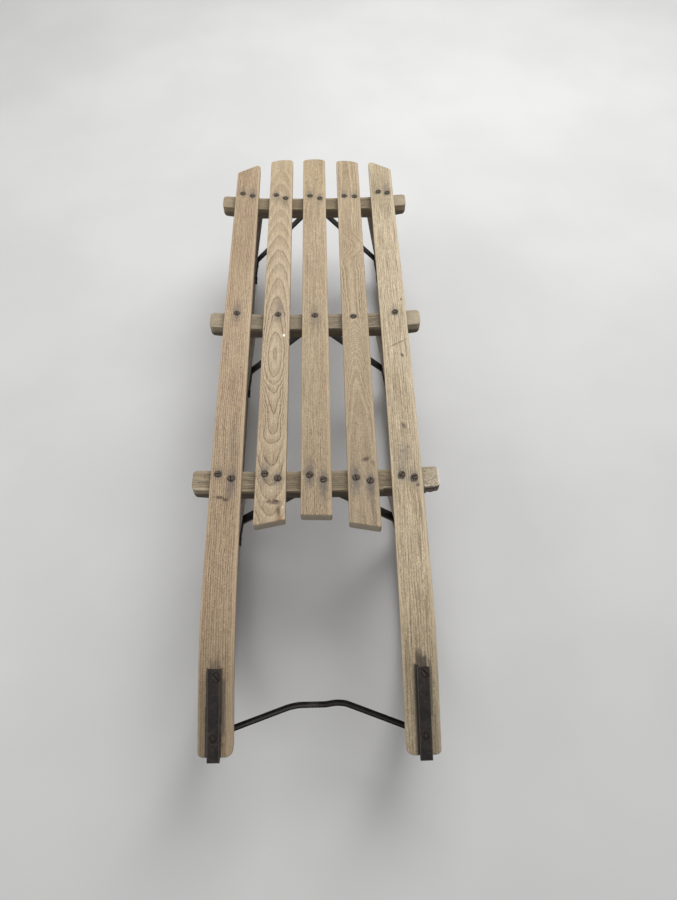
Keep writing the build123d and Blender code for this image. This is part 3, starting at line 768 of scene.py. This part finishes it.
# The iron
def iron(name, seed, base, rust, worn, metal=0.5, rough=0.5, specular=0.3, holes=()):
    """Old black iron with brown rust. worn is a function giving where it is rubbed bright and
    the rod's painted highlight, and holes are X and v of its screws and their heads' radius."""
    material, tree, shader = new_material(name)
    point = place(tree)
    cloud = noise(tree, point, (0.06, 0.06, 0.06), 3.0, 0.6, seed)
    grit = noise(tree, point, (0.7, 0.7, 0.7), 3.0, 0.65, seed + 4.0)
    pits = noise(tree, point, (0.25, 0.25, 0.25), 2.0, 0.6, seed + 8.0)
    colour = mixed(tree, cloud.smooth(0.35, 0.65), base, shaded(base, 1.55))
    rusty = (pits + (cloud - 0.5) * 0.6).smooth(0.5, 0.72) * rust
    colour = mixed(tree, rusty, colour, (0.095, 0.052, 0.034))
    colour = mixed(tree, grit.smooth(0.55, 0.8) * 0.5, colour, shaded(base, 0.45))
    shine = worn(tree, point, grit, cloud)
    colour = mixed(tree, shine, colour, (0.30, 0.275, 0.25))
    for x, v, radius in holes:
        away = hypot(point[0] - x, point[1] - v) + (grit - 0.5) * 0.8
        colour = mixed(tree, away.smooth(radius + 3.2, radius + 0.8) * 0.4, colour, (0.070, 0.046, 0.034))
        # The near-black ring hugging each head's edge is painted shade
        colour = mixed(tree, away.smooth(radius + 0.9, radius + 0.4) * 0.75, colour, (0.005, 0.004, 0.004))
    tree.links.new(colour, shader.inputs["Base Color"])
    put(tree, shader.inputs["Roughness"], (grit * 0.35 + rough - 0.12 - shine * 0.15).clamp(0.2, 1.0))
    put(tree, shader.inputs["Metallic"], (shine * 0.5 + metal - pits.smooth(0.5, 0.7) * 0.35).clamp())
    shader.inputs["Specular IOR Level"].default_value = specular
    add_bump(tree, shader, grit * 0.6 + pits * 1.2, 0.35 * MM, 0.8)
    return material


def strap_wear(side):
    """Rubbed arrises of a runner iron, and a bright sole where it slides."""
    def wear(tree, point, grit, cloud):
        across, v, _ = side_board(tree, side)
        across = across + (toe_shift(v, toe_start) - iron_shift[side]) * side
        arris = (across.size() + (grit - 0.5) * 2.2).smooth(6.2, 7.6) * up_face(tree) * 0.22
        sole = (point[2] + (cloud - 0.5) * 2.0).smooth(1.2, 0.3) * 0.8
        return (arris + sole).clamp()
    return wear


def brace_wear(row_v):
    """Lightly rubbed edges of a brace."""
    def wear(tree, point, grit, cloud):
        return ((point[1] - row_v).size() + (grit - 0.5) * 2.0).smooth(6.2, 7.4) * 0.15
    return wear


def rod_wear(tree, point, grit, cloud):
    """A painted highlight along the upper front of the rod, and its middle rubbed bright."""
    rubbed = ((point[0] + 8.0).size() + (cloud - 0.5) * 14.0).smooth(12.0, 1.0)
    way = facing(tree)
    upper_front = (way[2] * 0.84 - way[1] * 0.54 + (grit - 0.5) * 0.12).smooth(0.86, 0.97)
    # The line along the upper front is a painted highlight
    line = upper_front * point[0].smooth(-20.0, 10.0, 0.2, 0.1)
    return (line + rubbed * grit.smooth(0.4, 0.7) * 0.22).clamp()


# The screws that hold the irons to the slats' tips: node, X, v, slotted, turn
strap_screws = (
    ("runner_iron_left", -127.0, -277.9, True, -0.85),
    ("runner_iron_left", -131.4, -341.9, False, 0.0),
    ("runner_iron_right", 134.1, -277.7, True, -0.8),
    ("runner_iron_right", 133.4, -344.5, False, 0.0),
)
slotted_radius = 5.2
# Radius and height of a round head's rings, from its middle out, in mm
ringed = (
    (0, 1.0), (1.2, 0.95), (2.1, 0.6), (2.5, 0.02), (3.1, 0.02), (3.5, 0.65), (4.1, 0.5), (4.3, -0.2))
dome = ((0, 0.9), (1.6, 0.85), (2.8, 0.6), (3.5, 0.25), (3.8, -0.1), (3.8, -0.3))

strap_iron = (0.0215, 0.0185, 0.0172)
brace_iron = (0.016, 0.0145, 0.014)
rod_iron = (0.0058, 0.0055, 0.0054)
for side_name, side in sides:
    node = "runner_iron_" + side_name
    holes = [
        (x, v, slotted_radius if slotted else ringed[-1][0])
        for held, x, v, slotted, _ in strap_screws if held == node
    ]
    finish_node(node, iron(node + "_metal", 20.0 + side, strap_iron, 0.25, strap_wear(side), holes=holes))
for number, (row, row_v) in enumerate(rows):
    finish_node("brace_" + row, iron(
        "brace_" + row + "_metal", 40.0 + number * 3.0, brace_iron, 0.2, brace_wear(row_v)))
finish_node("tow_rod", iron(
    "tow_rod_metal", 55.0, rod_iron, 0.1, rod_wear, metal=0.0, rough=0.7, specular=0.03))


def head_iron(name, seed, face, spots, rim_from):
    """Old screw heads with painted shade on their outer rim and a dark slot, each one spotted in its own way.
    """
    material, tree, shader = new_material(name)
    x, y, z = own_place(tree)
    geometry = tree.nodes.new("ShaderNodeNewGeometry")
    point = [part / MM for part in parts_of(tree, geometry.outputs["Position"])]
    grit = noise(tree, point, (0.55, 0.55, 0.55), 3.0, 0.7, seed)
    fine = noise(tree, point, (1.6, 1.6, 1.6), 2.0, 0.6, seed + 4.0)
    colour = mixed(tree, grit.smooth(0.42, 0.6), face, spots)
    colour = mixed(tree, fine.smooth(0.55, 0.75) * 0.5, colour, shaded(face, 0.4))
    # Painted shade on the head's outer rim
    rim_shade = hypot(x, y).smooth(rim_from, rim_from + 0.9) * 0.85
    slot_floor = z.smooth(0.42, 0.2)
    colour = mixed(tree, rim_shade.run("MAXIMUM", slot_floor), colour, (0.013, 0.011, 0.010))
    tree.links.new(colour, shader.inputs["Base Color"])
    put(tree, shader.inputs["Roughness"], (grit * 0.4 + 0.4).clamp(0.3, 1.0))
    shader.inputs["Metallic"].default_value = 0.15
    shader.inputs["Specular IOR Level"].default_value = 0.12
    add_bump(tree, shader, grit + fine * 0.5, 0.3 * MM, 0.8)
    return material


head_metal = head_iron("screw_head_metal", 70.0, (0.126, 0.097, 0.072), (0.058, 0.043, 0.031), 3.5)
strap_head_metal = head_iron("strap_head_metal", 75.0, (0.058, 0.049, 0.043), (0.032, 0.026, 0.022), 4.7)


# The screws
up, down = (0, 0, 1), (0, 0, -1)
above_seat = 0.4
below_braces = 0.02


def surface(node, start, direction):
    """Where a line from start first meets a node, and the surface's direction there."""
    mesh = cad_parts[node].data
    tree = BVHTree.FromPolygons(
        [vertex.co for vertex in mesh.vertices], [list(face.vertices) for face in mesh.polygons])
    point, normal, _, _ = tree.ray_cast(Vector(start), Vector(direction))
    if normal.dot(Vector(direction)) > 0:
        normal = -normal
    return point, normal


def stand(piece, point, normal, turn):
    """Sets a piece on a surface with its Z along the surface's direction."""
    tilt = Vector(up).rotation_difference(normal).to_matrix().to_4x4()
    piece.matrix_world = Matrix.Translation(point) @ tilt @ Matrix.Rotation(turn, 4, "Z")


def mesh_of(name, parts):
    mesh = bpy.data.meshes.new(name)
    parts.to_mesh(mesh)
    parts.free()
    return mesh


def linked(name, data):
    """A new object that is in the scene."""
    obj = bpy.data.objects.new(name, data)
    bpy.context.scene.collection.objects.link(obj)
    return obj


def make_piece(name, parts, material):
    mesh = mesh_of(name, parts)
    for face in mesh.polygons:
        face.use_smooth = True
    mesh.materials.append(material)
    obj = linked(name, mesh)
    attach(obj, "root")
    return obj


def slotted_head(radius, slot, rise, depth):
    """A domed screw head: two halves with a slot between them, sizes in metres."""
    half = slot / 2
    steps = 14
    shares = (0.0, 0.45, 0.8, 0.94, 1.0)
    rim_from, rim_width, rim_drop = 0.94, 0.06, 0.3
    crown = 0.25
    skirt = -0.3 * MM
    parts = bmesh.new()
    reach = math.sqrt(radius ** 2 - half ** 2)
    floors = {}
    for side in (-1, 1):
        columns = []
        for i in range(steps + 1):
            x = -reach * math.cos(math.pi * i / steps)
            edge = math.sqrt(max(radius ** 2 - x ** 2, half ** 2))
            column = [parts.verts.new((x, side * half, rise - depth))]
            for share in shares:
                y = half + (edge - half) * share
                far = math.hypot(x, y) / radius
                z = rise * (1 - crown * far ** 2) - (rim_drop * rise * max(0.0, far - rim_from) / rim_width)
                column.append(parts.verts.new((x, side * y, z)))
            column.append(parts.verts.new((x, side * edge, skirt)))
            columns.append(column)
        for first, second in zip(columns, columns[1:]):
            for a, b, c, d in zip(first, first[1:], second[1:], second):
                parts.faces.new((a, b, c, d) if side < 0 else (d, c, b, a))
        floors[side] = [column[0] for column in columns]
    for i in range(steps):
        parts.faces.new((floors[-1][i], floors[-1][i + 1], floors[1][i + 1], floors[1][i]))
    bmesh.ops.remove_doubles(parts, verts=parts.verts, dist=0.005 * MM)
    bmesh.ops.recalc_face_normals(parts, faces=parts.faces)
    return parts


def turned_head(profile, steps=28):
    """A round head from (radius, height) pairs in mm, from the middle out."""
    parts = bmesh.new()
    loops = []
    for radius, height in profile[1:]:
        loops.append([
            parts.verts.new((
                radius * MM * math.cos(2 * math.pi * i / steps),
                radius * MM * math.sin(2 * math.pi * i / steps),
                height * MM,
            ))
            for i in range(steps)
        ])
    centre = parts.verts.new((0, 0, profile[0][1] * MM))
    for i in range(steps):
        parts.faces.new((centre, loops[0][i], loops[0][(i + 1) % steps]))
    for inner, outer in zip(loops, loops[1:]):
        for i in range(steps):
            j = (i + 1) % steps
            parts.faces.new((inner[i], outer[i], outer[j], inner[j]))
    return parts


dice = random.Random(7)
for name, places in seat_screws.items():
    for number, (x, v) in enumerate(places, 1):
        head = slotted_head(radius=4.6 * MM, slot=1.2 * MM, rise=0.85 * MM, depth=0.7 * MM)
        piece = make_piece("screw_" + name + "_" + str(number), head, head_metal)
        point, normal = surface(name, (x * MM, (v + front_beam_y) * MM, above_seat), down)
        stand(piece, point, normal, dice.uniform(0.0, math.pi))


# The front beam's wear, in mm. The cuts divide the faces that reach beyond worn_reach_x
# or whose middle is beyond worn_middle_x. The rot grows from rot_start over rot_run, up
# to rot_height above the underside and rot_depth in from the front. The chip lies from
# chip_start to chip_end, above chip_low.
worn_reach_x, worn_middle_x = 88.0, 60.0
cuts_x = (*range(90, 123, 2), *range(152, 180, 2))
cuts_v = (-15.5, -14.0, -12.0, -10.0, -7.5, -5.0)
cuts_z = range(196, 220, 2)
rot_start, rot_run, rot_height, rot_depth = 156.0, 8.0, 8.0, 10.0
chip_start, chip_run, chip_end, chip_run_out = 96.0, 3.0, 119.0, 4.0
chip_low, chip_rise, chip_depth = 205.0, 6.0, 5.0


def worn_beam(node):
    """The beam with its rotten lower corner and the chip in its front edge."""
    parts = bmesh.new()
    parts.from_mesh(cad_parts[node].data)
    cuts = [((x * MM, 0, 0), (1, 0, 0)) for x in cuts_x]
    cuts += [((0, (front_beam_y + v) * MM, 0), (0, 1, 0)) for v in cuts_v]
    cuts += [((0, 0, z * MM), up) for z in cuts_z]
    for place_on, direction in cuts:
        near = [face for face in parts.faces if face.calc_center_median().x > worn_middle_x * MM
                or max(vertex.co.x for vertex in face.verts) > worn_reach_x * MM]
        corners = dict.fromkeys(vertex for face in near for vertex in face.verts)
        edges = dict.fromkeys(edge for face in near for edge in face.edges)
        bmesh.ops.bisect_plane(
            parts, geom=[*corners, *edges, *near], dist=1e-6, plane_co=place_on, plane_no=direction)
    for vertex in parts.verts:
        x, v, z = vertex.co.x / MM, vertex.co.y / MM - front_beam_y, vertex.co.z / MM
        rough = noise_at.noise(Vector((x * 0.33, v * 0.4, z * 0.4))) * 0.5 + 0.5
        inside = v + beam_half
        low = max(0.0, 1.0 - (z - beam_under - max(0.0, x - beam_taper_x) * beam_taper) / rot_height)
        rot = min(1.0, max(0.0, (x - rot_start) / rot_run)) * low * max(0.0, 1.0 - inside / rot_depth)
        chip = min(1.0, max(0.0, (x - chip_start) / chip_run), max(0.0, (chip_end - x) / chip_run_out))
        chip *= max(0.0, 1.0 - inside / chip_depth) * min(1.0, max(0.0, (z - chip_low) / chip_rise))
        worn = rot * (0.5 + 2.8 * rough)
        vertex.co.y += (worn * 0.8 + chip * (1.6 + 1.4 * rough)) * MM
        vertex.co.z += (worn * 0.9 - chip * 0.8) * MM
    bmesh.ops.triangulate(parts, faces=parts.faces)
    mesh = mesh_of(node + "_worn", parts)
    mesh.materials.append(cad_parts[node].data.materials[0])
    piece = linked(node + "_worn", mesh)
    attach(piece, "root")
    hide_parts(node)


worn_beam("beam_front")

for node, x, v, slotted, turn in strap_screws:
    if slotted:
        head = slotted_head(radius=slotted_radius * MM, slot=1.5 * MM, rise=0.7 * MM, depth=0.6 * MM)
    else:
        head = turned_head(ringed)
    piece = make_piece(
        "screw_" + node + ("_slotted" if slotted else "_round"), head, strap_head_metal)
    point, normal = surface(node, (x * MM, (v + front_beam_y) * MM, above_seat), down)
    stand(piece, point, normal, turn)

# Low rivet heads on the braces: two under the beam, and on each leg and runner
for row, row_v in rows:
    y = (row_v + front_beam_y) * MM
    for number, x in enumerate((-12.0, 12.0), 1):
        piece = make_piece(
            "bolt_" + row + "_beam_" + str(number), turned_head(dome), strap_head_metal)
        stand(piece, *surface("brace_" + row, (x * MM, y, below_braces), up), 0.0)
    for side_name, side in sides:
        for number, z in enumerate((22.0, 56.0), 1):
            piece = make_piece(
                "bolt_" + row + "_" + side_name + "_" + str(number), turned_head(dome), strap_head_metal)
            stand(piece, *surface("brace_" + row, (0.0, y, z * MM), (side, 0, 0)), 0.0)


# Floor, lights and camera, in metres and degrees, and the lens and sensor in mm
floor_reach = 9.0
sky_strength = 0.36
backdrop_grey = (0.80, 0.80, 0.79, 1.0)
camera_from_beam = (0.0169, -0.4943, 1.0573)
camera_heading, camera_tilt, camera_roll = -1.75, 33.02, 0.46
camera_lens, camera_sensor = 26.6, 36.0


def make_floor():
    parts = bmesh.new()
    bmesh.ops.create_grid(parts, x_segments=2, y_segments=2, size=floor_reach)
    floor = linked("floor", mesh_of("floor", parts))
    material, tree, shader = new_material("floor_pale")
    cloud = noise(tree, place(tree), (0.003, 0.003, 0.003), 3.0, 0.5, 2.0)
    tree.links.new(
        mixed(tree, cloud.smooth(0.3, 0.7), (0.60, 0.60, 0.595), (0.64, 0.64, 0.635)),
        shader.inputs["Base Color"])
    shader.inputs["Roughness"].default_value = 0.85
    shader.inputs["Specular IOR Level"].default_value = 0.2
    floor.data.materials.append(material)


def make_light(name, location, target, size, power):
    lamp = bpy.data.lights.new(name, "AREA")
    lamp.shape = "SQUARE"
    lamp.size = size
    lamp.energy = power
    light = linked(name, lamp)
    light.location = location
    light.rotation_mode = "QUATERNION"
    light.rotation_quaternion = (Vector(target) - Vector(location)).to_track_quat("-Z", "Y")


make_floor()
make_light("key", location=(0.6, 1.35, 2.2), target=(0, 0.15, 0.15), size=2.0, power=62)
make_light("fill", location=(-2.2, -0.6, 1.6), target=(0, 0, 0.1), size=2.0, power=16)

world = bpy.data.worlds.new("studio")
bpy.context.scene.world = world
world.use_nodes = True
sky = world.node_tree
sky.nodes.clear()
rays = sky.nodes.new("ShaderNodeLightPath")
lighting = sky.nodes.new("ShaderNodeBackground")
lighting.inputs["Color"].default_value = (1.0, 1.0, 1.0, 1.0)
lighting.inputs["Strength"].default_value = sky_strength
backdrop = sky.nodes.new("ShaderNodeBackground")
backdrop.inputs["Color"].default_value = backdrop_grey
seen = sky.nodes.new("ShaderNodeMath")
seen.operation = "MAXIMUM"
sky.links.new(rays.outputs["Is Camera Ray"], seen.inputs[0])
sky.links.new(rays.outputs["Is Glossy Ray"], seen.inputs[1])
choose = sky.nodes.new("ShaderNodeMixShader")
sky.links.new(seen.outputs[0], choose.inputs[0])
sky.links.new(lighting.outputs[0], choose.inputs[1])
sky.links.new(backdrop.outputs[0], choose.inputs[2])
out = sky.nodes.new("ShaderNodeOutputWorld")
sky.links.new(choose.outputs[0], out.inputs["Surface"])

camera = linked("camera", bpy.data.cameras.new("camera"))
camera.data.sensor_width = camera_sensor
camera.data.lens = camera_lens
beside, ahead, above = camera_from_beam
camera.matrix_world = (
    Matrix.Translation((beside, front_beam_y * MM + ahead, above))
    @ Matrix.Rotation(math.radians(camera_heading), 4, "Z")
    @ Matrix.Rotation(math.radians(camera_tilt), 4, "X")
    @ Matrix.Rotation(math.radians(camera_roll), 4, "Z")
)
bpy.context.scene.camera = camera
bpy.context.scene.view_settings.view_transform = "Standard"
